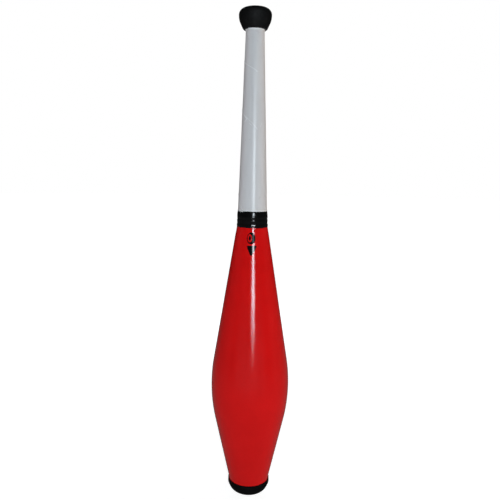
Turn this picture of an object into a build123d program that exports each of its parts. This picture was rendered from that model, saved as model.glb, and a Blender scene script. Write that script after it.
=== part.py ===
from build123d import *

import os

# Juggling club of the multi-piece kind, standing on its base. Millimetres, +Z up the
# axis to the knob, origin at the centre of the flat foot.
# A wooden dowel runs from end to end. A hollow grained body is held on it by a plug at
# the bottom and a bush at the neck, a padded and film-wrapped tube makes the handle, and
# a rubber knob and a rubber base cap are screwed to the dowel's two ends.

# Driving dimensions
club_length = 520.0
dowel_radius = 6.0
dowel_bottom_z = 9.2
dowel_top_z = 509.0
dowel_chamfer = 0.6
fit_gap = 0.1

# Body shell: two cones that meet in one long round belly
shell_wall = 1.5
shell_bottom_z = 16.8
cap_rim_z = 18.2
cap_rim_shell_radius = 21.87
belly_corner = (45.3, 122.6)
belly_round = 174.0
shoulder = (16.1, 301.4)
neck_radius = 15.75
neck_start_z = 302.3
neck_end_z = 306.4

# Handle: tube, padding and film on one slim cone
grip_top_z = 498.9
grip_top_radius = 9.35
grip_bottom_z = 317.4
grip_bottom_radius = 15.2
film_thickness = 0.3
padding_thickness = 1.5
tube_wall = 1.2
spigot_bottom_z = 288.0

# Tape band over the joint of handle and body
band_bottom_z = 300.3
band_thickness = 0.3
band_step = 0.7

# Knob, with the corners of its flank and their rounding
knob_socket_depth = 3.0
knob_underside_radius = 12.0
knob_shoulder = (16.4, 508.2)
knob_rim_radius = 16.9
knob_rim_z = 519.1
knob_roundings = [2.5, 16.0, 6.0]
knob_pocket_radius = 8.8
knob_pocket_z = 512.6
knob_button_thickness = 2.4

# Base cap, with the corners of its dome and their rounding
foot_radius = 9.8
cap_flank = (20.0, 6.6)
cap_corner = (22.9, 12.9)
cap_rim_radius = 22.7
cap_roundings = [3.0, 9.0, 3.0]
cap_lip = 0.5
cap_lip_bevel = 0.6
cup_radius = 21.7
cup_floor_z = 13.0
base_pocket_radius = 6.5
base_pocket_depth = 4.6
base_button_inset = 0.2
base_button_thickness = 0.9
plug_top_z = 28.0
bush_inset = 1.0

# Fasteners
screw_radius = 1.75
screw_length = 30.0
screw_head_radius = 3.5
screw_head_height = 2.2
screw_head_round = 0.9
screw_slot = (4.2, 1.0, 2.4)
screw_point_length = 3.5
screw_tip_radius = 0.2
washer_thickness = 1.2
washer_gap = 0.3
tack_count = 3
tack_radius = 0.6
tack_head_radius = 1.3
tack_head_height = 0.4
tack_length = 8.0
tack_z = 304.4

# Clear label on the front of the body, just under the band
label_width = 12.8
label_height = 25.2
label_centre_z = 283.1
label_thickness = 0.12
label_corner = 2.5

belly_slope = (belly_corner[0] - cap_rim_shell_radius) / (belly_corner[1] - cap_rim_z)
shell_bottom_radius = belly_corner[0] - belly_slope * (belly_corner[1] - shell_bottom_z)
shoulder_slope = (belly_corner[0] - shoulder[0]) / (shoulder[1] - belly_corner[1])
grip_slope = (grip_bottom_radius - grip_top_radius) / (grip_top_z - grip_bottom_z)
grip_end_z = grip_top_z + knob_socket_depth
grip_end_radius = grip_top_radius - grip_slope * knob_socket_depth
grip_foot_z = neck_end_z + fit_gap
standing = (Align.CENTER, Align.CENTER, Align.MIN)
hanging = (Align.CENTER, Align.CENTER, Align.MAX)


def turned(*lines):
    """Solid turned about Z from lines that close a loop of (radius, height) points."""
    return revolve(Plane.XZ * make_face(lines), Axis.Z)


def turned_polygon(*points):
    """Solid turned about Z from a closed polygon of (radius, height) points."""
    return turned(Polyline(*points, close=True))


def disc(radius, bottom_z, top_z):
    """Round bar on the Z axis between two heights."""
    return Pos(0, 0, bottom_z) * Cylinder(radius, top_z - bottom_z, align=standing)


def ring(outer_radius, inner_radius, bottom_z, top_z):
    """Flat ring on the Z axis between two heights."""
    return disc(outer_radius, bottom_z, top_z) - disc(inner_radius, bottom_z, top_z)


def shell_radius(height):
    """Outer radius of the body's upper cone at a height."""
    return shoulder[0] + shoulder_slope * (shoulder[1] - height)


def grip_layer(outer_depth, inner_depth):
    """Conical sleeve of the handle between two depths under the film's outer face."""
    return turned_polygon(
        (grip_bottom_radius - outer_depth, grip_foot_z),
        (grip_bottom_radius - outer_depth, grip_bottom_z),
        (grip_end_radius - outer_depth, grip_end_z),
        (grip_end_radius - inner_depth, grip_end_z),
        (grip_bottom_radius - inner_depth, grip_bottom_z),
        (grip_bottom_radius - inner_depth, grip_foot_z),
    )


def wood_screw(head_z, direction):
    """Pan-head wood screw; its head rests at head_z and its point runs along direction."""
    head = Cylinder(screw_head_radius, screw_head_height, align=hanging)
    head = fillet(head.edges().filter_by(GeomType.CIRCLE).group_by(Axis.Z)[0], screw_head_round)
    for angle in (0, 90):
        head -= Pos(0, 0, -screw_head_height) * Rot(0, 0, angle) * Box(*screw_slot)
    shank_length = screw_length - screw_point_length
    shank = Cylinder(screw_radius, shank_length, align=standing)
    tip = Cone(screw_radius, screw_tip_radius, screw_point_length, align=standing)
    screw = head + shank + Pos(0, 0, shank_length) * tip
    if direction < 0:
        screw = Rot(180, 0, 0) * screw
    return Pos(0, 0, head_z) * screw


def body_shell():
    """Hollow body: bottom cone, long round belly, upper cone, shoulder and short neck."""
    start = (shell_bottom_radius, shell_bottom_z)
    outer = FilletPolyline(start, belly_corner, shoulder, radius=belly_round)
    shifted = [(r - shell_wall, z) for r, z in (start, belly_corner, shoulder)]
    inner = FilletPolyline(*shifted, radius=belly_round)
    neck_bore = neck_radius - shell_wall
    neck = Polyline(
        shoulder,
        (neck_radius, neck_start_z),
        (neck_radius, neck_end_z),
        (neck_bore, neck_end_z),
        (neck_bore, neck_start_z),
        shifted[2],
    )
    return turned(outer, neck, inner, Line(shifted[0], start))


def handle_tube():
    """Thin tapered tube with a thicker spigot that plugs into the body's neck."""
    face_depth = film_thickness + padding_thickness
    bore_depth = face_depth + tube_wall
    spigot_radius = neck_radius - shell_wall - fit_gap
    return turned_polygon(
        (spigot_radius, spigot_bottom_z),
        (spigot_radius, neck_end_z),
        (grip_bottom_radius - face_depth, grip_foot_z),
        (grip_bottom_radius - face_depth, grip_bottom_z),
        (grip_end_radius - face_depth, grip_end_z),
        (grip_end_radius - bore_depth, grip_end_z),
        (grip_bottom_radius - bore_depth, grip_bottom_z),
        (grip_bottom_radius - bore_depth, spigot_bottom_z),
    )


def neck_bush():
    """Disc that centres the dowel in the lower end of the handle tube."""
    bore_depth = film_thickness + padding_thickness + tube_wall
    return ring(grip_bottom_radius - bore_depth, dowel_radius, spigot_bottom_z, neck_end_z - bush_inset)


def neck_tacks():
    """Short tacks, driven radially through neck and tube into the bush."""
    head_face = neck_radius - fit_gap
    tack = Pos(head_face, 0, tack_z) * Rot(0, -90, 0) * (
        Cylinder(tack_head_radius, tack_head_height, align=standing)
        + Cylinder(tack_radius, tack_length, align=standing)
    )
    return [Rot(0, 0, 90 + 360 / tack_count * k) * tack for k in range(tack_count)]


def neck_band():
    """Tape wound over the shoulder, the neck and the foot of the handle film."""
    edge_radius = shell_radius(band_bottom_z)
    inner = [
        (edge_radius, band_bottom_z),
        shoulder,
        (neck_radius, neck_start_z),
        (neck_radius, neck_end_z),
        (grip_bottom_radius, neck_end_z + band_step),
        (grip_bottom_radius, grip_bottom_z),
    ]
    outer = [(r + band_thickness, z) for r, z in reversed(inner)]
    return turned_polygon(*inner, *outer)


def knob():
    """Mushroom-shaped rubber knob with a socket below and a screw pocket above."""
    flank = FilletPolyline(
        (grip_top_radius, grip_top_z),
        (knob_underside_radius, grip_top_z),
        knob_shoulder,
        (knob_rim_radius, knob_rim_z),
        (knob_pocket_radius, knob_rim_z),
        radius=knob_roundings,
    )
    pocket = Polyline(
        (knob_pocket_radius, knob_rim_z),
        (knob_pocket_radius, knob_pocket_z),
        (screw_radius, knob_pocket_z),
        (screw_radius, dowel_top_z),
        (dowel_radius, dowel_top_z),
        (dowel_radius, grip_end_z),
        (grip_top_radius, grip_end_z),
        (grip_top_radius, grip_top_z),
    )
    return turned(flank, pocket)


def knob_button():
    """Domed plug that closes the knob's pocket flush with its rim."""
    rise = club_length - knob_rim_z
    dome_radius = (knob_pocket_radius**2 + rise**2) / (2 * rise)
    dome = Pos(0, 0, club_length - dome_radius) * Sphere(dome_radius)
    return disc(knob_pocket_radius, knob_rim_z - knob_button_thickness, club_length) & dome


def base_plug():
    """Plug that closes the shell's bottom, with a flange under the shell's edge."""
    spigot = ring(shell_bottom_radius - shell_wall - fit_gap, dowel_radius, cup_floor_z, plug_top_z)
    flange = ring(cup_radius - fit_gap, dowel_radius, cup_floor_z, shell_bottom_z)
    return spigot + flange


def base_cap():
    """Rubber cup with a domed underside, a flat foot and a raised lip round the shell."""
    dome = FilletPolyline(
        (base_pocket_radius, 0),
        (foot_radius, 0),
        cap_flank,
        cap_corner,
        (cap_rim_radius, cap_rim_z),
        radius=cap_roundings,
    )
    inside = Polyline(
        (cap_rim_radius, cap_rim_z),
        (cap_rim_radius - cap_lip, cap_rim_z),
        (cup_radius, shell_bottom_z + cap_lip_bevel),
        (cup_radius, cup_floor_z),
        (dowel_radius, cup_floor_z),
        (dowel_radius, dowel_bottom_z),
        (screw_radius, dowel_bottom_z),
        (screw_radius, base_pocket_depth),
        (base_pocket_radius, base_pocket_depth),
        (base_pocket_radius, 0),
    )
    return turned(dome, inside)


def label_film():
    """Thin clear film with rounded corners, lying on the front of the upper cone."""
    low_z = label_centre_z - label_height / 2
    high_z = label_centre_z + label_height / 2
    low_radius = shell_radius(low_z)
    high_radius = shell_radius(high_z)
    skin = turned_polygon(
        (low_radius, low_z),
        (low_radius + label_thickness, low_z),
        (high_radius + label_thickness, high_z),
        (high_radius, high_z),
    )
    outline = RectangleRounded(label_width, label_height, label_corner)
    cutter = Pos(0, 0, label_centre_z) * Rot(90, 0, 0) * extrude(outline, belly_corner[0])
    return skin & cutter


def core_dowel():
    """Straight round dowel with its two ends lightly chamfered."""
    dowel = disc(dowel_radius, dowel_bottom_z, dowel_top_z)
    return chamfer(dowel.edges().filter_by(GeomType.CIRCLE), dowel_chamfer)


def washer(outer_radius, bottom_z):
    """Flat steel washer on a screw's shank."""
    return ring(outer_radius, screw_radius, bottom_z, bottom_z + washer_thickness)


tacks = neck_tacks()
knob_screw = wood_screw(knob_pocket_z + washer_thickness, -1)
base_screw = wood_screw(base_pocket_depth - washer_thickness, 1)

parts = {
    "core_dowel": core_dowel() - knob_screw - base_screw,
    "body_shell": body_shell() - tacks,
    "base_plug": base_plug(),
    "handle_tube": handle_tube() - tacks,
    "handle_padding": grip_layer(film_thickness, film_thickness + padding_thickness),
    "handle_film": grip_layer(0, film_thickness),
    "neck_bush": neck_bush() - tacks,
    "neck_tacks": Compound(children=tacks),
    "neck_band": neck_band(),
    "knob": knob(),
    "knob_washer": washer(knob_pocket_radius - washer_gap, knob_pocket_z),
    "knob_screw": knob_screw,
    "knob_button": knob_button(),
    "base_cap": base_cap(),
    "base_washer": washer(base_pocket_radius - washer_gap, base_pocket_depth - washer_thickness),
    "base_screw": base_screw,
    "base_button": disc(base_pocket_radius, base_button_inset, base_button_inset + base_button_thickness),
    "label_film": label_film(),
}

os.makedirs("parts", exist_ok=True)
for name, shape in parts.items():
    export_step(shape, f"parts/{name}.step")
    print(name, round(shape.volume, 1))
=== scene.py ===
import math

import bmesh
import bpy
import numpy as np
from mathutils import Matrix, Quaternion, Vector


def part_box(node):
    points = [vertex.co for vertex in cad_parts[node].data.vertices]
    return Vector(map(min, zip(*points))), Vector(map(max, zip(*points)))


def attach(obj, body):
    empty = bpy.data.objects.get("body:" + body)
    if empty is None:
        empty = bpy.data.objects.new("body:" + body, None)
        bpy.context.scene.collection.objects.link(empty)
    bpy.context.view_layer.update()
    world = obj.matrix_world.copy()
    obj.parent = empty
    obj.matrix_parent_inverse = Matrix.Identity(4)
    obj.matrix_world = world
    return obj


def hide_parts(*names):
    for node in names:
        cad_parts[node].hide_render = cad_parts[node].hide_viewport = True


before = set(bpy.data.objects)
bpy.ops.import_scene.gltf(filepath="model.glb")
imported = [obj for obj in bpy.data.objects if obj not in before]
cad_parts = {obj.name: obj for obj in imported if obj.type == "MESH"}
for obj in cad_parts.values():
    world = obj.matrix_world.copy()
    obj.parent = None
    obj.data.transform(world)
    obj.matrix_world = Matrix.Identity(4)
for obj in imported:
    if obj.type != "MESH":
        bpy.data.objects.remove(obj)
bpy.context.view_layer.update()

MM = 0.001

# ---------------------------------------------------------------- sizes, in mm unless said
FOOT_LOW, FOOT_HIGH = (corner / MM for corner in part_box("base_cap"))
SHELL_LOW, SHELL_HIGH = (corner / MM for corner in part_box("body_shell"))
FILM_LOW, FILM_HIGH = (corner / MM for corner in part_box("handle_film"))
BAND_LOW, BAND_HIGH = (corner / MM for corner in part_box("neck_band"))
KNOB_LOW, KNOB_HIGH = (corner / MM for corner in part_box("knob"))
BUTTON_LOW, BUTTON_HIGH = (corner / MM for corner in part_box("knob_button"))
DISC_LOW, DISC_HIGH = (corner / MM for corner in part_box("base_button"))
LABEL_LOW, LABEL_HIGH = (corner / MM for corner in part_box("label_film"))
DOWEL_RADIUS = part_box("core_dowel")[1].x / MM
SCREW_RADIUS = 1.75

# points round a turned piece, and the longest step round a corner of an outline, in radians
SEGMENTS = 192
CORNER_STEP = math.radians(6)
NEARLY_ZERO = 1e-6

# the hollow body; corners are (radius, height)
SHELL_WALL = 1.5
SHELL_BOTTOM_RADIUS = 21.55
BELLY_CORNER = (45.3, 122.6)
BELLY_ROUND = 174.0
SHOULDER = (16.1, 301.4)
NECK_RADIUS = 15.75
NECK_START = 302.3
FLARE_MIDDLE = FOOT_HIGH.z + 0.15
FLARE_REACH, FLARE_DEPTH = 1.8, 0.45
MOULD_LINE_RISE, MOULD_LINE_WIDTH = 0.09, math.radians(1.1)
MOULD_LINE_END_RADIUS = SHELL_BOTTOM_RADIUS - SHELL_WALL * 3
OUTER_SPACING, INNER_SPACING = 1.4, 8.0

# the handle
GRIP_TOP = (9.35, KNOB_LOW.z)
GRIP_BOTTOM = (FILM_HIGH.x, BAND_HIGH.z)
FILM_THICKNESS = 0.3

# the knob
KNOB_UNDERSIDE_RADIUS = 12.0
KNOB_SHOULDER = (16.4, 508.2)
KNOB_RIM_RADIUS = 16.9
KNOB_ROUNDINGS = [2.5, 16.0, 6.0, 0.3]
KNOB_POCKET_RADIUS, KNOB_POCKET_FLOOR = BUTTON_HIGH.x, 512.6
KNOB_POCKET_BEVEL = 0.45
DOWEL_TOP = 509.0
BUTTON_GAP, BUTTON_EDGE, BUTTON_RINGS = 0.03, 0.35, 18

# the base cap
FOOT_RADIUS = 9.8
CAP_FLANK = (20.0, 6.6)
CAP_CORNER = (22.9, 12.9)
CAP_RIM = (22.75, FOOT_HIGH.z)
CAP_LIP = (22.1, FOOT_HIGH.z)
CAP_ROUNDINGS = [0.3, 3.0, 9.0, 3.0, 0.3, 0.3]
CUP_RADIUS, CUP_FLOOR, CUP_BEVEL = 21.7, 13.0, 0.6
BASE_POCKET_RADIUS, BASE_POCKET_DEPTH = DISC_HIGH.x, 4.6
BASE_POCKET_BEVEL = 0.4
DOWEL_BOTTOM = 9.2
DISC_GAP, DISC_EDGE = 0.05, 0.25
RUBBER_SPACING = 0.6

SHOULDER_SLOPE = (BELLY_CORNER[0] - SHOULDER[0]) / (SHOULDER[1] - BELLY_CORNER[1])
GRIP_SLOPE = (GRIP_BOTTOM[0] - GRIP_TOP[0]) / (GRIP_TOP[1] - GRIP_BOTTOM[1])


def shell_radius(height):
    """Outer radius of the body's upper cone at a height."""
    return SHOULDER[0] + SHOULDER_SLOPE * (SHOULDER[1] - height)


def grip_radius(height):
    """Outer radius of one layer of film on the handle at a height."""
    return np.minimum(GRIP_TOP[0] + GRIP_SLOPE * (GRIP_TOP[1] - height), GRIP_BOTTOM[0])


# ---------------------------------------------------------------- outlines and meshes
def rounded(points, radii, spacing=1.0):
    """Points at most spacing apart on a run of straight lines whose inner corners are rounded."""
    points = [Vector(p) for p in points]
    path = [points[0]]
    for before, corner, after, radius in zip(points, points[1:], points[2:], radii):
        back = (before - corner).normalized()
        ahead = (after - corner).normalized()
        half = back.angle(ahead) / 2
        if radius > 0:
            middle = corner + (back + ahead).normalized() * radius / math.sin(half)
            first = corner + back * radius / math.tan(half)
            sweep = math.pi - 2 * half
            turn = math.copysign(sweep, back.x * ahead.y - back.y * ahead.x)
            steps = max(2, math.ceil(sweep * radius / spacing), math.ceil(sweep / CORNER_STEP))
            arm = first - middle
            for k in range(steps + 1):
                angle = -turn * k / steps
                spun = Vector((
                    arm.x * math.cos(angle) - arm.y * math.sin(angle),
                    arm.x * math.sin(angle) + arm.y * math.cos(angle),
                ))
                path.append(middle + spun)
        else:
            path.append(corner)
    path.append(points[-1])
    return [(p.x, p.y) for p in spaced(path, spacing)]


def spaced(path, spacing):
    """The same path with extra points wherever two of its points lie over spacing apart."""
    filled = [path[0]]
    for start, end in zip(path, path[1:]):
        steps = max(1, math.ceil((end - start).length / spacing))
        filled += [start.lerp(end, k / steps) for k in range(1, steps + 1)]
    return filled


def finished(name, mesh, materials, sharp_angle=38):
    """Piece made of a mesh, smooth except across edges sharper than an angle in degrees."""
    data = bpy.data.meshes.new(name)
    mesh.to_mesh(data)
    mesh.free()
    data.polygons.foreach_set("use_smooth", [True] * len(data.polygons))
    data.set_sharp_from_angle(angle=math.radians(sharp_angle))
    for material in materials:
        data.materials.append(material)
    piece = bpy.data.objects.new(name, data)
    bpy.context.scene.collection.objects.link(piece)
    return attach(piece, "root")


def cut(mesh, place, normal, snap, clear_outer=False):
    """Cuts a mesh along a plane; clear_outer drops what lies on the normal's side."""
    bmesh.ops.bisect_plane(
        mesh, geom=mesh.verts[:] + mesh.edges[:] + mesh.faces[:], dist=snap,
        plane_co=place, plane_no=normal, clear_outer=clear_outer,
    )


def doubled(mesh):
    """Copies an open sheet, walls up the border between the two and returns the copy's parts."""
    border = [edge for edge in mesh.edges if edge.is_boundary]
    made = bmesh.ops.duplicate(mesh, geom=mesh.verts[:] + mesh.edges[:] + mesh.faces[:])
    twin = made["vert_map"]
    for edge in border:
        a, b = edge.verts
        mesh.faces.new((a, b, twin[b], twin[a]))
    return made["geom"]


def turned(name, outline, material, shape=None):
    """Solid turned about Z from a closed outline of (radius, height) points in mm.

    shape(radius, height, angle), where given, returns each point's final radius and height.
    """
    outline = [p for k, p in enumerate(outline) if k == 0 or math.dist(p, outline[k - 1]) > NEARLY_ZERO]
    mesh = bmesh.new()
    angles = np.arange(SEGMENTS) * 2 * math.pi / SEGMENTS
    rings = []
    for radius, height in outline:
        if radius < NEARLY_ZERO:
            pole = mesh.verts.new((0, 0, height * MM))
            rings.append([pole] * SEGMENTS)
            continue
        ring = []
        for angle in angles:
            r, z = shape(radius, height, angle) if shape else (radius, height)
            ring.append(mesh.verts.new((r * math.sin(angle) * MM, -r * math.cos(angle) * MM, z * MM)))
        rings.append(ring)
    closed = outline[0][0] > NEARLY_ZERO or outline[-1][0] > NEARLY_ZERO
    pairs = list(zip(rings, rings[1:])) + ([(rings[-1], rings[0])] if closed else [])
    for lower, upper in pairs:
        for k in range(SEGMENTS):
            corners = list(dict.fromkeys((lower[k - 1], lower[k], upper[k], upper[k - 1])))
            if len(corners) > 2:
                mesh.faces.new(corners)
    bmesh.ops.recalc_face_normals(mesh, faces=mesh.faces)
    return finished(name, mesh, [material])


# ---------------------------------------------------------------- materials
class Nodes:
    """Small helper that builds one material's node tree."""

    def __init__(self, name):
        self.material = bpy.data.materials.new(name)
        self.material.use_nodes = True
        self.tree = self.material.node_tree
        self.shader = self.tree.nodes["Principled BSDF"]
        self.place = self.tree.nodes.new("ShaderNodeTexCoord").outputs["Object"]

    def add(self, kind, inputs=None, **settings):
        node = self.tree.nodes.new(kind)
        for key, value in settings.items():
            setattr(node, key, value)
        for key, value in (inputs or {}).items():
            self.put(node.inputs[key], value)
        return node

    def put(self, socket, value):
        if isinstance(value, bpy.types.NodeSocket):
            self.tree.links.new(value, socket)
        else:
            socket.default_value = value

    def stretched(self, scale):
        return self.add("ShaderNodeMapping", {"Vector": self.place, "Scale": scale}).outputs["Vector"]

    def noise(self, scale, detail, place=None):
        inputs = {"Vector": place or self.place, "Scale": scale, "Detail": detail}
        return self.add("ShaderNodeTexNoise", inputs).outputs["Fac"]

    def cells(self, scale, smoothness, place=None):
        inputs = {"Vector": place or self.place, "Scale": scale, "Smoothness": smoothness}
        return self.add("ShaderNodeTexVoronoi", inputs, feature="SMOOTH_F1").outputs["Distance"]

    def span(self, value, low, high, to_low, to_high):
        inputs = {"Value": value, "From Min": low, "From Max": high, "To Min": to_low, "To Max": to_high}
        return self.add("ShaderNodeMapRange", inputs).outputs["Result"]

    def mottled(self, scale, detail, low, high):
        """Value that varies with a noise between two limits."""
        return self.span(self.noise(scale, detail), 0.3, 0.7, low, high)

    def math(self, operation, first, second):
        return self.add("ShaderNodeMath", {0: first, 1: second}, operation=operation).outputs["Value"]

    def blend(self, factor, first, second):
        """Mix of two colours; sockets 6 and 7 and output 2 are the node's colour sockets."""
        node = self.add("ShaderNodeMix", data_type="RGBA")
        for index, value in ((0, factor), (6, first), (7, second)):
            self.put(node.inputs[index], value)
        return node.outputs[2]

    def bump(self, height, depth, strength, below=None):
        inputs = {"Height": height, "Distance": depth, "Strength": strength}
        if below:
            inputs["Normal"] = below
        return self.add("ShaderNodeBump", inputs).outputs["Normal"]

    def finish(self, colour, roughness, normal, **uniform):
        """Links colour, roughness and bump, and sets uniform values on the shader's own sockets."""
        self.put(self.shader.inputs["Base Color"], colour)
        self.put(self.shader.inputs["Roughness"], roughness)
        self.put(self.shader.inputs["Normal"], normal)
        for key, value in uniform.items():
            self.shader.inputs[key.replace("_", " ").title().replace("Ior", "IOR")].default_value = value
        return self.material


def red_plastic():
    """Satin red polyethylene with a fine pebble grain."""
    n = Nodes("red_grained_plastic")
    pebble = n.cells(620, 0.5)
    grain = n.math("ADD", n.noise(1300, 1), n.math("MULTIPLY", pebble, 0.5))
    normal = n.bump(grain, 0.00006, 1.0)
    patch = n.span(n.noise(28, 4), 0.35, 0.7, 0, 1)
    colour = n.blend(patch, (0.87, 0.0070, 0.0068, 1), (0.94, 0.0085, 0.0085, 1))
    pits = n.span(pebble, 0.15, 0.75, 0, 1)
    colour = n.blend(n.math("MULTIPLY", pits, 0.3), colour, (0.82, 0.005, 0.005, 1))
    return n.finish(colour, n.mottled(70, 3, 0.10, 0.12), normal, specular_tint=(0.65, 0.95, 1, 1))


def white_film():
    """Glossy white film with faint stretch marks along the handle."""
    n = Nodes("white_glossy_film")
    streak = n.noise(90, 3, n.stretched((1.0, 1.0, 0.12)))
    ripple = n.noise(260, 2, n.stretched((1.0, 1.0, 0.5)))
    normal = n.bump(streak, 0.0005, 0.10, n.bump(ripple, 0.00006, 0.25))
    tint = n.blend(n.span(streak, 0.35, 0.65, 0, 1), (0.82, 0.83, 0.84, 1), (0.87, 0.875, 0.88, 1))
    return n.finish(tint, n.mottled(140, 3, 0.27, 0.34), normal, specular_ior_level=0.45)


def film_edge():
    """The film's cut edges, rolled ends and creases in a whiter colour, a painted highlight for the light
    they catch.
    """
    n = Nodes("white_film_edge_painted_highlight")
    speck = n.noise(700, 4)
    colour = n.blend(n.span(speck, 0.3, 0.7, 0, 1), (0.96, 0.98, 0.99, 1), (0.99, 1.0, 1.0, 1))
    rough = n.span(speck, 0.3, 0.7, 0.40, 0.48)
    return n.finish(colour, rough, n.bump(speck, 0.00005, 0.3), specular_ior_level=1.0)


def black_tape():
    """Glossy black PVC tape with a fine drawn grain round the band."""
    n = Nodes("black_glossy_tape")
    drawn = n.noise(420, 3, n.stretched((0.3, 0.3, 1.0)))
    normal = n.bump(drawn, 0.00004, 0.4, n.bump(n.noise(160, 1), 0.0005, 0.06))
    colour = n.blend(n.noise(120, 3), (0.0028, 0.0028, 0.0032, 1), (0.0045, 0.0045, 0.0050, 1))
    return n.finish(colour, n.mottled(300, 3, 0.14, 0.18), normal)


def black_rubber(name, sheen):
    """Matte black moulded rubber with a fine sandy skin."""
    n = Nodes(name)
    sand = n.noise(1900, 3)
    dimples = n.cells(900, 0.5)
    height = n.math("ADD", sand, n.math("MULTIPLY", dimples, 0.5))
    normal = n.bump(height, 0.00008, 0.5)
    scuff = n.span(n.noise(150, 6), 0.55, 0.8, 0, 1)
    colour = n.blend(scuff, (0.0030, 0.0030, 0.0032, 1), (0.0070, 0.0068, 0.0067, 1))
    return n.finish(colour, n.mottled(400, 3, 0.60, 0.75), normal, specular_ior_level=sheen)


def label_gloss():
    """Clear glossy film on the red body, modelled as smooth glossy red."""
    n = Nodes("label_clear_gloss")
    soft = n.noise(300, 2)
    normal = n.bump(soft, 0.00003, 0.12)
    colour = n.blend(n.noise(60, 3), (0.87, 0.0065, 0.0063, 1), (0.93, 0.0080, 0.0080, 1))
    return n.finish(colour, n.mottled(220, 2, 0.12, 0.16), normal)


def label_ink(name, gloss):
    """Black printing ink, as shiny as its gloss says."""
    n = Nodes(name)
    speck = n.noise(2500, 3)
    colour = n.blend(speck, (0.003, 0.003, 0.003, 1), (0.008, 0.007, 0.007, 1))
    bumps = n.bump(speck, 0.00002, 0.2)
    return n.finish(colour, n.span(speck, 0.3, 0.7, 0.07, 0.13), bumps, specular_ior_level=gloss)


def beech():
    """Sanded beech with fine grain along Z and short dark flecks."""
    n = Nodes("beech_wood")
    along = n.stretched((1.0, 1.0, 0.035))
    rings = n.noise(420, 5, along)
    flecks = n.cells(900, 0.1, n.stretched((1.0, 1.0, 0.12)))
    light = n.blend(n.span(rings, 0.3, 0.7, 0, 1), (0.52, 0.33, 0.17, 1), (0.66, 0.46, 0.27, 1))
    colour = n.blend(n.span(flecks, 0.0, 0.14, 0.55, 0.0), light, (0.30, 0.16, 0.07, 1))
    return n.finish(colour, n.span(rings, 0.3, 0.7, 0.48, 0.62), n.bump(rings, 0.0001, 0.35))


def moulded(name, dark, light):
    """Plain moulded plastic with a faint flow pattern."""
    n = Nodes(name)
    flow = n.noise(80, 4, n.stretched((1.0, 1.0, 0.4)))
    skin = n.noise(1300, 2)
    colour = n.blend(n.span(flow, 0.3, 0.7, 0, 1), dark, light)
    return n.finish(colour, n.span(flow, 0.3, 0.7, 0.38, 0.5), n.bump(skin, 0.00004, 0.3))


def foam():
    """Closed-cell foam with small round cells."""
    n = Nodes("closed_cell_foam")
    cells = n.cells(1400, 0.2)
    colour = n.blend(n.span(cells, 0.1, 0.7, 0, 1), (0.50, 0.50, 0.48, 1), (0.70, 0.70, 0.67, 1))
    return n.finish(colour, n.span(cells, 0.1, 0.7, 0.8, 0.92), n.bump(cells, 0.0002, 0.6))


def zinc_steel():
    """Bright zinc-plated steel with fine turning marks."""
    n = Nodes("zinc_plated_steel")
    marks = n.noise(1600, 3, n.stretched((0.2, 0.2, 1.0)))
    spangle = n.cells(500, 0.1)
    colour = n.blend(n.span(spangle, 0.1, 0.6, 0, 1), (0.50, 0.52, 0.54, 1), (0.66, 0.67, 0.69, 1))
    roughness = n.span(marks, 0.3, 0.7, 0.22, 0.38)
    return n.finish(colour, roughness, n.bump(marks, 0.00003, 0.4), metallic=1.0)


# the edge film's whiter colour is a painted highlight on seams, ends and creases
RED, FILM, FILM_EDGE_PAINTED_HIGHLIGHT, TAPE = red_plastic(), white_film(), film_edge(), black_tape()
KNOB_RUBBER, BASE_RUBBER = black_rubber("black_knob_rubber", 0.30), black_rubber("black_base_rubber", 0.12)
GLOSS, INK, GLOSSY_INK = label_gloss(), label_ink("label_ink", 0.05), label_ink("label_glossy_ink", 0.4)
CARRIED = {
    beech(): ["core_dowel"],
    moulded("natural_polyethylene", (0.62, 0.62, 0.58, 1), (0.70, 0.70, 0.66, 1)): ["handle_tube"],
    moulded("black_polyethylene", (0.020, 0.020, 0.021, 1), (0.032, 0.032, 0.033, 1)): [
        "neck_bush", "base_plug",
    ],
    foam(): ["handle_padding"],
    zinc_steel(): ["neck_tacks", "knob_screw", "knob_washer", "base_screw", "base_washer"],
}


# ---------------------------------------------------------------- the body
def make_body():
    """Hollow body with a flared bottom edge, two faint mould lines and a short neck."""
    start = (SHELL_BOTTOM_RADIUS, SHELL_LOW.z)
    outer = rounded([start, BELLY_CORNER, SHOULDER], [BELLY_ROUND], OUTER_SPACING)
    neck = [(NECK_RADIUS, NECK_START), (NECK_RADIUS, SHELL_HIGH.z)]
    bore = NECK_RADIUS - SHELL_WALL
    inner_corners = [(r - SHELL_WALL, z) for r, z in (SHOULDER, BELLY_CORNER, start)]
    inner = rounded(inner_corners, [BELLY_ROUND], INNER_SPACING)

    def shape(radius, height, angle):
        if height in (SHELL_LOW.z, SHELL_HIGH.z) or radius < MOULD_LINE_END_RADIUS:
            return radius, height
        off_line = math.remainder(angle - math.pi / 2, math.pi)
        line = MOULD_LINE_RISE * math.exp(-((off_line / MOULD_LINE_WIDTH) ** 2))
        flare = FLARE_DEPTH * max(0.0, 1 - abs(height - FLARE_MIDDLE) / FLARE_REACH) ** 1.5
        return radius + line + flare, height

    outline = outer + neck + [(bore, SHELL_HIGH.z), (bore, NECK_START)] + inner
    body = turned("body_shell_red", outline, RED, shape)
    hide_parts("body_shell")


# ---------------------------------------------------------------- the handle film
# The seam is a straight line on the unrolled cone of the handle. SEAM_NEAREST is the radius where it
# comes nearest to the cone's tip, and SEAM_START is its angle on the unrolled cone at turn 0.
# Turns are counted down the handle, from its left side.
SEAM_NEAREST = 9.053
SEAM_START = math.radians(28.65)
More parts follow.
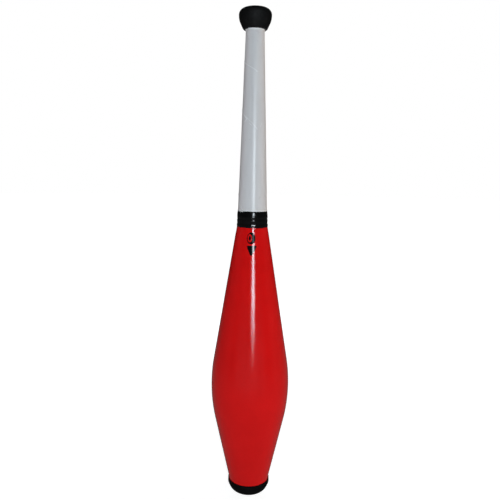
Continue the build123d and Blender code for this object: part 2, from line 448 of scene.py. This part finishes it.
# near WANDER_TURN it lies up to SEAM_WANDER above that line
SEAM_WANDER, WANDER_TURN, WANDER_WIDTH = 1.6, 1.20, 0.085
STRIP_WIDTH = 75.0
FIRST_TURN, LAST_TURN = -2.2, 2.3
COLUMNS_PER_TURN, ROWS_PER_TURN = 144, 46
LIP = [
    # distance below the seam, rise of the film over the layer under it
    (0, 0.02), (0.10, 0.17), (0.22, 0.26), (0.40, 0.30), (0.62, 0.25), (0.95, 0.17), (1.5, 0.12),
    (4, 0.10), (30, 0.03),
]
# distances below the seam of the film's rows of points, of which the first EDGE_ROWS are the edge and get
# the painted highlight
LIP_ROWS = [0, 0.05, 0.10, 0.16, 0.22, 0.31, 0.40, 0.51, 0.62, 0.78, 0.95, 1.2, 1.5, 2.2, 3.0]
LIP_ROWS += list(np.arange(3.6, 9.1, 0.6))
EDGE_ROWS = 11
UNDER_LIP_RISE = 0.01
SEAM_PRESSED = [
    # angle from the front in degrees, share of its rise that the lip keeps there
    (-180, 0.12), (-130, 1), (6, 1), (26, 0.12), (180, 0.12),
]
# turns at which the lip starts to rise and has its full rise
LIP_START = (-0.35, -0.15)
HIDDEN_EDGE_RISE, HIDDEN_EDGE_WIDTH = 0.04, 1.4
LOWER_END_RISE, UPPER_END_RISE, END_WIDTH = 0.30, 0.45, 1.1
# extra rows at both ends, and how far the ends count as edges with the painted highlight, in mm from the
# end
END_ROWS = (0.4, 0.8, 1.2, 1.7, 2.3, 3.0)
END_EDGE = 1.2
CREASES = [
    # angle from the front in degrees, height, slope down to the right, half width, half length, rise;
    # each is steep on its left side
    (-44.0, 412.0, 0.9, 0.90, 2.4, 0.32),
    (-44.0, 409.2, -1.0, 0.90, 1.8, 0.32),
    (-16.0, 404.8, 0.8, 0.70, 2.6, 0.16),
    # this crease and the one at 9.8 degrees are low bumps whose whiter colour paints a glint on the
    # highlight
    (10.0, 401.9, 0.9, 1.00, 1.0, 0.12),
    (35.0, 405.0, -4.0, 0.70, 3.4, 0.14),
    (9.8, 456.6, 0.8, 1.00, 0.9, 0.12),
    (-66.0, 323.0, 1.4, 0.90, 3.6, 0.26),
    (-50.0, 319.8, 0.4, 0.80, 2.5, 0.20),
]
# share of its half width that a crease has on its steep side
CREASE_STEEPNESS = 0.3
# rises from which the film has finer faces, and from which it counts as an edge and gets the painted
# highlight
CREASE_FOOT, CREASE_EDGE = 0.01, 0.06
# distance in metres at which a cut goes through a point that is already there
SNAP = 1e-7


def make_film():
    """Film strip wound down the handle; each turn overlaps the one above along a raised seam."""
    cone_sine = math.sin(math.atan(GRIP_SLOPE))
    turn_angle = 2 * math.pi * cone_sine
    lip_distance, lip_rise = zip(*LIP)
    pressed_angle, pressed_share = zip(*SEAM_PRESSED)

    def cone_angle(turn):
        return SEAM_START + turn_angle * turn

    def seam_height(turn):
        radius = SEAM_NEAREST / math.cos(cone_angle(turn))
        wander = SEAM_WANDER * math.exp(-(((turn - WANDER_TURN) / WANDER_WIDTH) ** 2))
        return GRIP_TOP[1] - (radius - GRIP_TOP[0]) / GRIP_SLOPE + wander

    def seam_strength(turn):
        """The seam starts behind the handle's upper end and is pressed flat round the right side."""
        azimuth = math.degrees(math.remainder(-math.pi / 2 + 2 * math.pi * turn, 2 * math.pi))
        return np.interp(azimuth, pressed_angle, pressed_share) * np.interp(turn, LIP_START, (0, 1))

    def past_hidden_edge(height, turn):
        """Distance below the lower edge of the strip that lies under this turn."""
        radius = GRIP_TOP[0] + GRIP_SLOPE * (GRIP_TOP[1] - height)
        return (radius * math.cos(cone_angle(turn)) - SEAM_NEAREST) / cone_sine - STRIP_WIDTH

    mesh = bmesh.new()
    rows = []
    for turn in np.arange(FIRST_TURN, LAST_TURN, 1 / COLUMNS_PER_TURN):
        angle = -math.pi / 2 + 2 * math.pi * turn
        high, low, strength = seam_height(turn), seam_height(turn + 1), seam_strength(turn)
        distances = LIP_ROWS + list(np.linspace(LIP_ROWS[-1], high - low, ROWS_PER_TURN)[1:])
        rises = np.interp(distances, lip_distance, lip_rise)
        row = []
        # the first point is at the seam, on the layer under the lip
        for below, lip in zip([0.0] + distances, [UNDER_LIP_RISE] + list(rises)):
            height = high - below
            radius = float(grip_radius(height))
            off_edge = past_hidden_edge(height, turn) / HIDDEN_EDGE_WIDTH
            radius += HIDDEN_EDGE_RISE * math.exp(-(off_edge**2))
            radius += lip_rise[-1] + (lip - lip_rise[-1]) * strength
            row.append(mesh.verts.new((
                radius * math.sin(angle) * MM, -radius * math.cos(angle) * MM, height * MM,
            )))
        rows.append((row, strength))
    for (before, strength), (after, _) in zip(rows, rows[1:]):
        for k in range(len(before) - 1):
            face = mesh.faces.new((before[k], after[k], after[k + 1], before[k + 1]))
            # the seam's edge rows get the whiter edge film, a painted highlight, where the seam keeps over
            # half its rise
            face.material_index = 1 if k < EDGE_ROWS and strength > 0.5 else 0
    for height, up in ((FILM_LOW.z, -1), (FILM_HIGH.z, 1)):
        cut(mesh, (0, 0, height * MM), (0, 0, up), SNAP, clear_outer=True)
    for height in [BAND_HIGH.z + step for step in END_ROWS] + [GRIP_TOP[1] - step for step in END_ROWS]:
        cut(mesh, (0, 0, height * MM), (0, 0, 1), SNAP)
    touched = {
        edge for face in mesh.faces if max(crease_rise(vert.co) for vert in face.verts) > CREASE_FOOT
        for edge in face.edges
    }
    bmesh.ops.subdivide_edges(mesh, edges=list(touched), cuts=2, use_grid_fill=True)
    creased = set()
    for vert in mesh.verts:
        radius, crease = vert.co.xy.length / MM, crease_rise(vert.co)
        if crease > CREASE_EDGE:
            creased.add(vert)
        grown = (radius + crease + end_rise(vert.co.z / MM)) / radius
        vert.co.x *= grown
        vert.co.y *= grown
    # the film's ends and the tops of the creases get the whiter edge film, a painted highlight
    for face in mesh.faces:
        height = face.calc_center_median().z / MM
        at_end = height < BAND_HIGH.z + END_EDGE or height > GRIP_TOP[1] - END_EDGE
        if at_end or creased.issuperset(face.verts):
            face.material_index = 1
    thicken_inwards(mesh)
    film = finished("handle_film_white", mesh, [FILM, FILM_EDGE_PAINTED_HIGHLIGHT], sharp_angle=50)
    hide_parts("handle_film")


def crease_rise(place):
    """Height of the creases in the film at a place, in mm."""
    angle, height, rise = math.atan2(place.x, -place.y), place.z / MM, 0.0
    for degrees, middle, slope, width, length, size in CREASES:
        off = math.remainder(angle - math.radians(degrees), 2 * math.pi) * float(grip_radius(middle))
        up = height - middle
        along = (off - slope * up) / math.hypot(1, slope)
        across = math.copysign(slope * off + up, (slope * off + up) * slope) / math.hypot(1, slope)
        reach = width * (CREASE_STEEPNESS if across < 0 else 1.0)
        rise += size * math.exp(-((across / reach) ** 2) - ((along / length) ** 2))
    return rise


def end_rise(height):
    """Height of the rolled lower edge and of the flared upper end of the film, in mm."""
    rise = LOWER_END_RISE * math.exp(-(((height - BAND_HIGH.z) / END_WIDTH) ** 2))
    under_knob = GRIP_TOP[1] - height
    if under_knob > 0:
        rise += UPPER_END_RISE * math.exp(-((under_knob / END_WIDTH) ** 2))
    return rise


def thicken_inwards(mesh):
    """Closes an open sleeve with an inner wall one film thickness under its outer face."""
    for part in doubled(mesh):
        if isinstance(part, bmesh.types.BMFace):
            part.normal_flip()
        if isinstance(part, bmesh.types.BMVert):
            radius = float(grip_radius(part.co.z / MM)) - FILM_THICKNESS
            flat = part.co.xy.normalized() * radius * MM
            part.co = (flat.x, flat.y, part.co.z)
    bmesh.ops.remove_doubles(mesh, verts=mesh.verts, dist=NEARLY_ZERO)
    bmesh.ops.recalc_face_normals(mesh, faces=mesh.faces)


# ---------------------------------------------------------------- the tape band
BAND_OUTLINE = [
    # radius, height: the tape bridges the shoulder, dips behind its own edge and swells to a second lap
    (16.25, 300.3), (16.45, 302.5), (16.35, 303.5), (15.91, 303.65), (16.17, 307.7),
    (16.11, 308.25), (15.84, 308.5), (16.07, 311.2), (16.03, 312.9), (15.77, 315.6), (15.42, 317.4),
]
BAND_MIDDLE = (BAND_LOW.z + BAND_HIGH.z) / 2
BAND_HALF_HEIGHT = (BAND_HIGH.z - BAND_LOW.z) / 2
BAND_SPACING = 0.2
BAND_SLANT = 0.26
BAND_GAP, BAND_LIFT, NECK_CLEARANCE = 0.02, 0.03, 0.4
WRINKLES = [
    # rise, waves round the band, slant of the waves in radians for each mm of height
    (0.035, 3, 0.8), (0.02, 7, -1.3),
]
# Just right of the front, the tape's fold over the shoulder is pressed flat up to FOLD_TOP.
# FOLD_ANGLE is the middle of the flat, in radians from the front, where its left part is cut off.
FOLD_TOP, FOLD_ANGLE, FOLD_HALF_ANGLE = 303.6, 0.072, 0.13


def make_band():
    """Black tape round the joint, with shallow wrinkles and slightly slanted edges."""
    outer = refined(BAND_OUTLINE, BAND_SPACING)
    grip_side, neck_side = GRIP_BOTTOM[0] + BAND_GAP, NECK_RADIUS + BAND_GAP
    sleeve = [
        (grip_side, BAND_HIGH.z), (grip_side, SHELL_HIGH.z + NECK_CLEARANCE),
        (neck_side, SHELL_HIGH.z), (neck_side, NECK_START),
    ]
    on_shoulder = [
        (SHOULDER[0] + BAND_GAP, SHOULDER[1]), (shell_radius(BAND_LOW.z) + BAND_LIFT, BAND_LOW.z),
    ]

    def shape(radius, height, angle):
        near_edge = (abs(height - BAND_MIDDLE) / BAND_HALF_HEIGHT) ** 4
        slanted = height - BAND_SLANT * near_edge * math.sin(angle)
        if (radius, height) in sleeve:
            return radius, slanted
        from_fold = abs(angle - FOLD_ANGLE)
        if height < FOLD_TOP and from_fold < FOLD_HALF_ANGLE:
            radius *= math.cos(FOLD_HALF_ANGLE) / math.cos(from_fold)
        wrinkle = sum(rise * math.sin(waves * angle + lean * height) for rise, waves, lean in WRINKLES)
        return radius + wrinkle * (1 - near_edge), slanted

    band = turned("neck_band_tape", outer + sleeve + on_shoulder, TAPE, shape)
    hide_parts("neck_band")


def refined(points, spacing):
    """The same outline in order of height, with more points between its corners."""
    corner_radii, corner_heights = np.array(points).T
    evenly = np.arange(corner_heights[0], corner_heights[-1], spacing)
    heights = np.unique(np.round(np.concatenate([corner_heights, evenly]), 3))
    return list(zip(np.interp(heights, corner_heights, corner_radii), heights))


# ---------------------------------------------------------------- knob and base
def make_knob():
    """Rubber knob with its socket and screw pocket, and the domed button in its top."""
    outline = rounded(
        [
            (GRIP_TOP[0], KNOB_LOW.z), (KNOB_UNDERSIDE_RADIUS, KNOB_LOW.z), KNOB_SHOULDER,
            (KNOB_RIM_RADIUS, KNOB_HIGH.z), (KNOB_POCKET_RADIUS + KNOB_POCKET_BEVEL, KNOB_HIGH.z),
            (KNOB_POCKET_RADIUS, KNOB_HIGH.z - KNOB_POCKET_BEVEL),
        ],
        KNOB_ROUNDINGS, RUBBER_SPACING,
    )
    outline += [
        (KNOB_POCKET_RADIUS, KNOB_POCKET_FLOOR), (SCREW_RADIUS, KNOB_POCKET_FLOOR),
        (SCREW_RADIUS, DOWEL_TOP), (DOWEL_RADIUS, DOWEL_TOP),
        (DOWEL_RADIUS, FILM_HIGH.z), (GRIP_TOP[0], FILM_HIGH.z),
    ]
    knob = turned("knob_rubber", outline, KNOB_RUBBER)
    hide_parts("knob")

    rise = BUTTON_HIGH.z - KNOB_HIGH.z
    dome = [
        (KNOB_POCKET_RADIUS * share, BUTTON_HIGH.z - rise * share**2)
        for share in np.linspace(1 - BUTTON_EDGE / KNOB_POCKET_RADIUS, 0, BUTTON_RINGS)
    ]
    button_radius = KNOB_POCKET_RADIUS - BUTTON_GAP
    rim = [(0.0, BUTTON_LOW.z), (button_radius, BUTTON_LOW.z), (button_radius, KNOB_HIGH.z - BUTTON_EDGE)]
    button = turned("knob_button_rubber", rim + dome, KNOB_RUBBER)
    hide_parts("knob_button")


def make_base():
    """Rubber base cap with a raised lip round the shell, and the disc over its screw."""
    outline = rounded(
        [
            (BASE_POCKET_RADIUS, BASE_POCKET_BEVEL),
            (BASE_POCKET_RADIUS + BASE_POCKET_BEVEL, FOOT_LOW.z), (FOOT_RADIUS, FOOT_LOW.z),
            CAP_FLANK, CAP_CORNER, CAP_RIM, CAP_LIP, (CUP_RADIUS, SHELL_LOW.z + CUP_BEVEL),
        ],
        CAP_ROUNDINGS, RUBBER_SPACING,
    )
    outline += [
        (CUP_RADIUS, CUP_FLOOR), (DOWEL_RADIUS, CUP_FLOOR), (DOWEL_RADIUS, DOWEL_BOTTOM),
        (SCREW_RADIUS, DOWEL_BOTTOM), (SCREW_RADIUS, BASE_POCKET_DEPTH),
        (BASE_POCKET_RADIUS, BASE_POCKET_DEPTH),
    ]
    cap = turned("base_cap_rubber", outline, BASE_RUBBER)
    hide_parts("base_cap")

    disc_radius = BASE_POCKET_RADIUS - DISC_GAP
    disc_outline = rounded(
        [(0.0, DISC_LOW.z), (disc_radius, DISC_LOW.z), (disc_radius, DISC_HIGH.z), (0.0, DISC_HIGH.z)],
        [DISC_EDGE, 0.0], RUBBER_SPACING,
    )
    disc = turned("base_button_rubber", disc_outline, BASE_RUBBER)
    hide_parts("base_button")


# ---------------------------------------------------------------- the label and its mark
LABEL_CENTRE = (LABEL_LOW.z + LABEL_HIGH.z) / 2
LABEL_WIDTH = LABEL_HIGH.x - LABEL_LOW.x
LABEL_HEIGHT = LABEL_HIGH.z - LABEL_LOW.z
LABEL_CORNER = 2.5
LABEL_THICKNESS, INK_THICKNESS = 0.12, 0.03
# ovals of the mark: centre x and z, half width and half height
RING_HEIGHT = LABEL_CENTRE + 6.9
RING_OUTER = (-1.1, RING_HEIGHT, 4.7, 6.0)
RING_HOLE = (-2.5, RING_HEIGHT, 2.5, 4.2)
RING_MIDDLE = (-2.5, RING_HEIGHT, 1.2, 2.2)
WEDGE_MIDDLE, WEDGE_HALF_WIDTH = -0.35, 5.6
WEDGE_TOP, WEDGE_TIP = LABEL_CENTRE - 0.6, (WEDGE_MIDDLE - 0.4, LABEL_CENTRE - 11.8)
WEDGE_ROUNDINGS = [0.9, 0.8, 0.9]
PATCH_SPACING, PATCH_MERGE, PATCH_SNAP = 0.8, 1e-4, 1e-5


def patch(name, loops, lift, thickness, material):
    """Thin pieces lying on the front of the upper cone.

    loops are closed outlines of (x, z) points in mm, seen from the front; each becomes a
    slab from lift to lift + thickness above the cone.
    """
    mesh = bmesh.new()
    for loop in loops:
        verts = [mesh.verts.new((x, 0, z)) for x, z in loop]
        mesh.faces.new(verts)
    bmesh.ops.remove_doubles(mesh, verts=mesh.verts, dist=PATCH_MERGE)
    for normal in (Vector((1, 0, 0)), Vector((0, 0, 1))):
        values = [vert.co.dot(normal) for vert in mesh.verts]
        for value in np.arange(min(values) + PATCH_SPACING, max(values), PATCH_SPACING):
            cut(mesh, normal * float(value), normal, PATCH_SNAP)
    bmesh.ops.recalc_face_normals(mesh, faces=mesh.faces)
    top = set(doubled(mesh))
    for vert in mesh.verts:
        x, z = vert.co.x, vert.co.z
        radius = shell_radius(z) + lift + (thickness if vert in top else 0.0)
        angle = x / shell_radius(LABEL_CENTRE)
        vert.co = (radius * math.sin(angle) * MM, -radius * math.cos(angle) * MM, z * MM)
    bmesh.ops.recalc_face_normals(mesh, faces=mesh.faces)
    return finished(name, mesh, [material])


def rounded_box(x, z, width, height, corner, steps=8):
    """Closed outline of a rectangle with round corners."""
    loop = []
    for k, (sx, sz) in enumerate(((1, 1), (-1, 1), (-1, -1), (1, -1))):
        cx, cz = x + sx * (width / 2 - corner), z + sz * (height / 2 - corner)
        for step in range(steps + 1):
            angle = math.pi / 2 * (k + step / steps)
            loop.append((cx + corner * math.cos(angle), cz + corner * math.sin(angle)))
    return loop


def oval(size, pieces=40):
    """Closed outline of an oval; size is its centre x, z and its half width and half height."""
    turns = [2 * math.pi * k / pieces for k in range(pieces)]
    return [(size[0] + size[2] * math.cos(turn), size[1] + size[3] * math.sin(turn)) for turn in turns]


def oval_ring(outer, hole):
    """Closed outlines of the short blocks that make up an oval ring."""
    rim, inside = oval(outer), oval(hole)
    return [[rim[k - 1], rim[k], inside[k], inside[k - 1]] for k in range(len(rim))]


def make_label():
    """Glossy label and its plain printed mark: an oval ring round an oval, over a wedge."""
    film = patch(
        "label_film_gloss", [rounded_box(0, LABEL_CENTRE, LABEL_WIDTH, LABEL_HEIGHT, LABEL_CORNER)],
        0.0, LABEL_THICKNESS, GLOSS,
    )
    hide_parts("label_film")
    ovals = oval_ring(RING_OUTER, RING_HOLE) + [oval(RING_MIDDLE)]
    ring = patch("label_ring", ovals, LABEL_THICKNESS, INK_THICKNESS, INK)
    wedge_outline = rounded(
        [
            (WEDGE_MIDDLE, WEDGE_TOP), (WEDGE_MIDDLE - WEDGE_HALF_WIDTH, WEDGE_TOP), WEDGE_TIP,
            (WEDGE_MIDDLE + WEDGE_HALF_WIDTH, WEDGE_TOP), (WEDGE_MIDDLE, WEDGE_TOP),
        ],
        WEDGE_ROUNDINGS,
    )[:-1]
    wedge = patch("label_wedge", [wedge_outline], LABEL_THICKNESS, INK_THICKNESS, GLOSSY_INK)


# ---------------------------------------------------------------- stage, light and camera
# strength of the white surroundings as each kind of ray sees them
DIFFUSE_ABOVE, DIFFUSE_BELOW = 0.02, 0.20
GLOSSY_ABOVE, GLOSSY_BELOW, GLOSSY_BEHIND = 0.03, 0.10, 0.0
# axis of a ray's direction, and its values where the strength starts and stops changing
DIFFUSE_FADE, GLOSSY_FADE, BEHIND_FADE = ("Z", -0.2, 0.2), ("Z", -0.28, -0.05), ("Y", 0.5, 0.85)

FRONT_LAMP, REAR_LAMP, LAMP_AIM = (0.145, -1.0, 0.43), (0, 1.0, 0.43), (0, 0, 0.43)
LAMPS = [
    # name, place, point it faces, width, height, radiance, colour, rays that see it; metres
    ("key_gloss", FRONT_LAMP, LAMP_AIM, 0.18, 0.36, 21.5, (0.84, 0.93, 1.0), "gloss"),
    ("key", FRONT_LAMP, LAMP_AIM, 0.15, 0.36, 18.5, (0.75, 0.90, 1.0), "diffuse"),
    ("rear_gloss", REAR_LAMP, LAMP_AIM, 0.10, 0.36, 20.0, (0.92, 0.96, 1.0), "gloss"),
    ("rear", REAR_LAMP, LAMP_AIM, 0.15, 0.36, 13.0, (0.80, 0.92, 1.0), "diffuse"),
    ("fill_left", (-3.0, -0.1, 0.6), (0, 0, 0.3), 2.4, 2.4, 1.09, (1.0, 0.86, 0.88), "diffuse"),
    ("fill_right", (3.0, 0.1, 0.6), (0, 0, 0.3), 2.4, 2.4, 2.32, (1.0, 0.80, 0.67), "diffuse"),
    ("fill_low", (0.0, -0.75, 0.06), (0, 0, 0.11), 1.5, 0.35, 1.35, (0.98, 0.97, 1.0), "diffuse"),
]

FLOOR_RADIUS, FLOOR_DROP = 9.0, 0.0002
FLOOR_GREY = (0.45, 0.45, 0.45, 1)
# distance from the club and strength of the floor's own glow, painted light that is dimmer near the club
# as a painted shade round it, at the start and end of its fade
FLOOR_GLOW_FADE = {"From Min": 0.05, "From Max": 0.6, "To Min": 0.90, "To Max": 1.02}

CAMERA_PLACE = (-0.002, -0.5613, 0.3543)
CAMERA_PITCH, CAMERA_ROLL = math.radians(8.0), math.radians(0.85)
SENSOR_WIDTH, LENS = 36.0, 38.34


def area_light(name, place, target, width, height, radiance, colour, seen_in):
    """Rectangular lamp at a place, facing a target; seen_in is "gloss" or "diffuse". Metres."""
    data = bpy.data.lights.new(name, "AREA")
    data.shape = "RECTANGLE"
    data.size, data.size_y = width, height
    data.energy = radiance * math.pi * width * height
    data.color = colour
    lamp = bpy.data.objects.new(name, data)
    lamp.location = place
    lamp.rotation_mode = "QUATERNION"
    lamp.rotation_quaternion = (Vector(target) - Vector(place)).to_track_quat("-Z", "Y")
    lamp.visible_camera = False
    lamp.visible_glossy = seen_in == "gloss"
    lamp.visible_diffuse = seen_in == "diffuse"
    bpy.context.scene.collection.objects.link(lamp)


def make_lights():
    """Tall lamps in front and behind make narrow highlights; wide ones fill in from the sides
    and from low down in front."""
    for lamp in LAMPS:
        area_light(*lamp)


def make_surroundings():
    """White backdrop that lights the club softly, more from below than from above."""
    world = bpy.data.worlds.new("studio")
    bpy.context.scene.world = world
    world.use_nodes = True
    tree = world.node_tree
    background = tree.nodes["Background"]
    background.inputs["Color"].default_value = (1, 1, 1, 1)
    path = tree.nodes.new("ShaderNodeLightPath")

    def pick(factor, first, second):
        """Mix of two values; sockets 2 and 3 and output 0 are the node's value sockets."""
        node = tree.nodes.new("ShaderNodeMix")
        tree.links.new(factor, node.inputs[0])
        for socket, value in ((node.inputs[2], first), (node.inputs[3], second)):
            if isinstance(value, float):
                socket.default_value = value
            else:
                tree.links.new(value, socket)
        return node.outputs[0]

    split = tree.nodes.new("ShaderNodeSeparateXYZ")
    tree.links.new(tree.nodes.new("ShaderNodeTexCoord").outputs["Generated"], split.inputs[0])

    def ramp(axis, low, high):
        """Rises from 0 to 1 as a ray's direction along an axis goes from low to high."""
        node = tree.nodes.new("ShaderNodeMapRange")
        node.inputs["From Min"].default_value = low
        node.inputs["From Max"].default_value = high
        tree.links.new(split.outputs[axis], node.inputs["Value"])
        return node.outputs["Result"]

    diffuse = pick(ramp(*DIFFUSE_FADE), DIFFUSE_BELOW, DIFFUSE_ABOVE)
    glossy_level = pick(ramp(*BEHIND_FADE), GLOSSY_ABOVE, GLOSSY_BEHIND)
    glossy = pick(ramp(*GLOSSY_FADE), GLOSSY_BELOW, glossy_level)
    unseen = pick(path.outputs["Is Glossy Ray"], diffuse, glossy)
    tree.links.new(pick(path.outputs["Is Camera Ray"], unseen, 1.0), background.inputs["Strength"])


def make_floor():
    """Plain pale floor that shows a soft shadow; its own glow is painted light, dimmer near the club as a
    painted shade and brightening into the white background.
    """
    mesh = bmesh.new()
    bmesh.ops.create_circle(mesh, cap_ends=True, segments=96, radius=FLOOR_RADIUS)
    data = bpy.data.meshes.new("floor")
    mesh.to_mesh(data)
    mesh.free()
    floor = bpy.data.objects.new("floor", data)
    bpy.context.scene.collection.objects.link(floor)
    floor.location.z = -FLOOR_DROP
    floor.visible_diffuse = False
    floor.visible_glossy = False
    material = bpy.data.materials.new("pale_floor")
    material.use_nodes = True
    tree = material.node_tree
    shader = tree.nodes["Principled BSDF"]
    shader.inputs["Base Color"].default_value = FLOOR_GREY
    shader.inputs["Roughness"].default_value = 1.0
    shader.inputs["Specular IOR Level"].default_value = 0.0
    shader.inputs["Emission Color"].default_value = (1, 1, 1, 1)
    distance = tree.nodes.new("ShaderNodeVectorMath")
    distance.operation = "LENGTH"
    tree.links.new(tree.nodes.new("ShaderNodeTexCoord").outputs["Object"], distance.inputs[0])
    fade = tree.nodes.new("ShaderNodeMapRange")
    for name, value in FLOOR_GLOW_FADE.items():
        fade.inputs[name].default_value = value
    tree.links.new(distance.outputs["Value"], fade.inputs["Value"])
    # the floor's glow, painted light, grows with distance from the club
    tree.links.new(fade.outputs["Result"], shader.inputs["Emission Strength"])
    data.materials.append(material)


def make_camera():
    """Camera in front of the club, level with the lower part of the handle, looking slightly down."""
    data = bpy.data.cameras.new("camera")
    data.sensor_width = SENSOR_WIDTH
    data.lens = LENS
    camera = bpy.data.objects.new("camera", data)
    camera.location = CAMERA_PLACE
    ahead = Vector((0, math.cos(CAMERA_PITCH), -math.sin(CAMERA_PITCH)))
    camera.rotation_mode = "QUATERNION"
    camera.rotation_quaternion = ahead.to_track_quat("-Z", "Y") @ Quaternion((0, 0, 1), CAMERA_ROLL)
    bpy.context.scene.collection.objects.link(camera)
    bpy.context.scene.camera = camera


def give_carried_nodes_their_materials():
    """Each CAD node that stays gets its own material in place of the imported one."""
    for material, names in CARRIED.items():
        for name in names:
            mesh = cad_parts[name].data
            mesh.materials.clear()
            mesh.materials.append(material)


make_camera()
make_lights()
make_surroundings()
make_floor()
make_body()
make_film()
make_band()
make_knob()
make_base()
make_label()
give_carried_nodes_their_materials()

scene = bpy.context.scene
scene.view_settings.view_transform = "Standard"
scene.view_settings.look = "None"
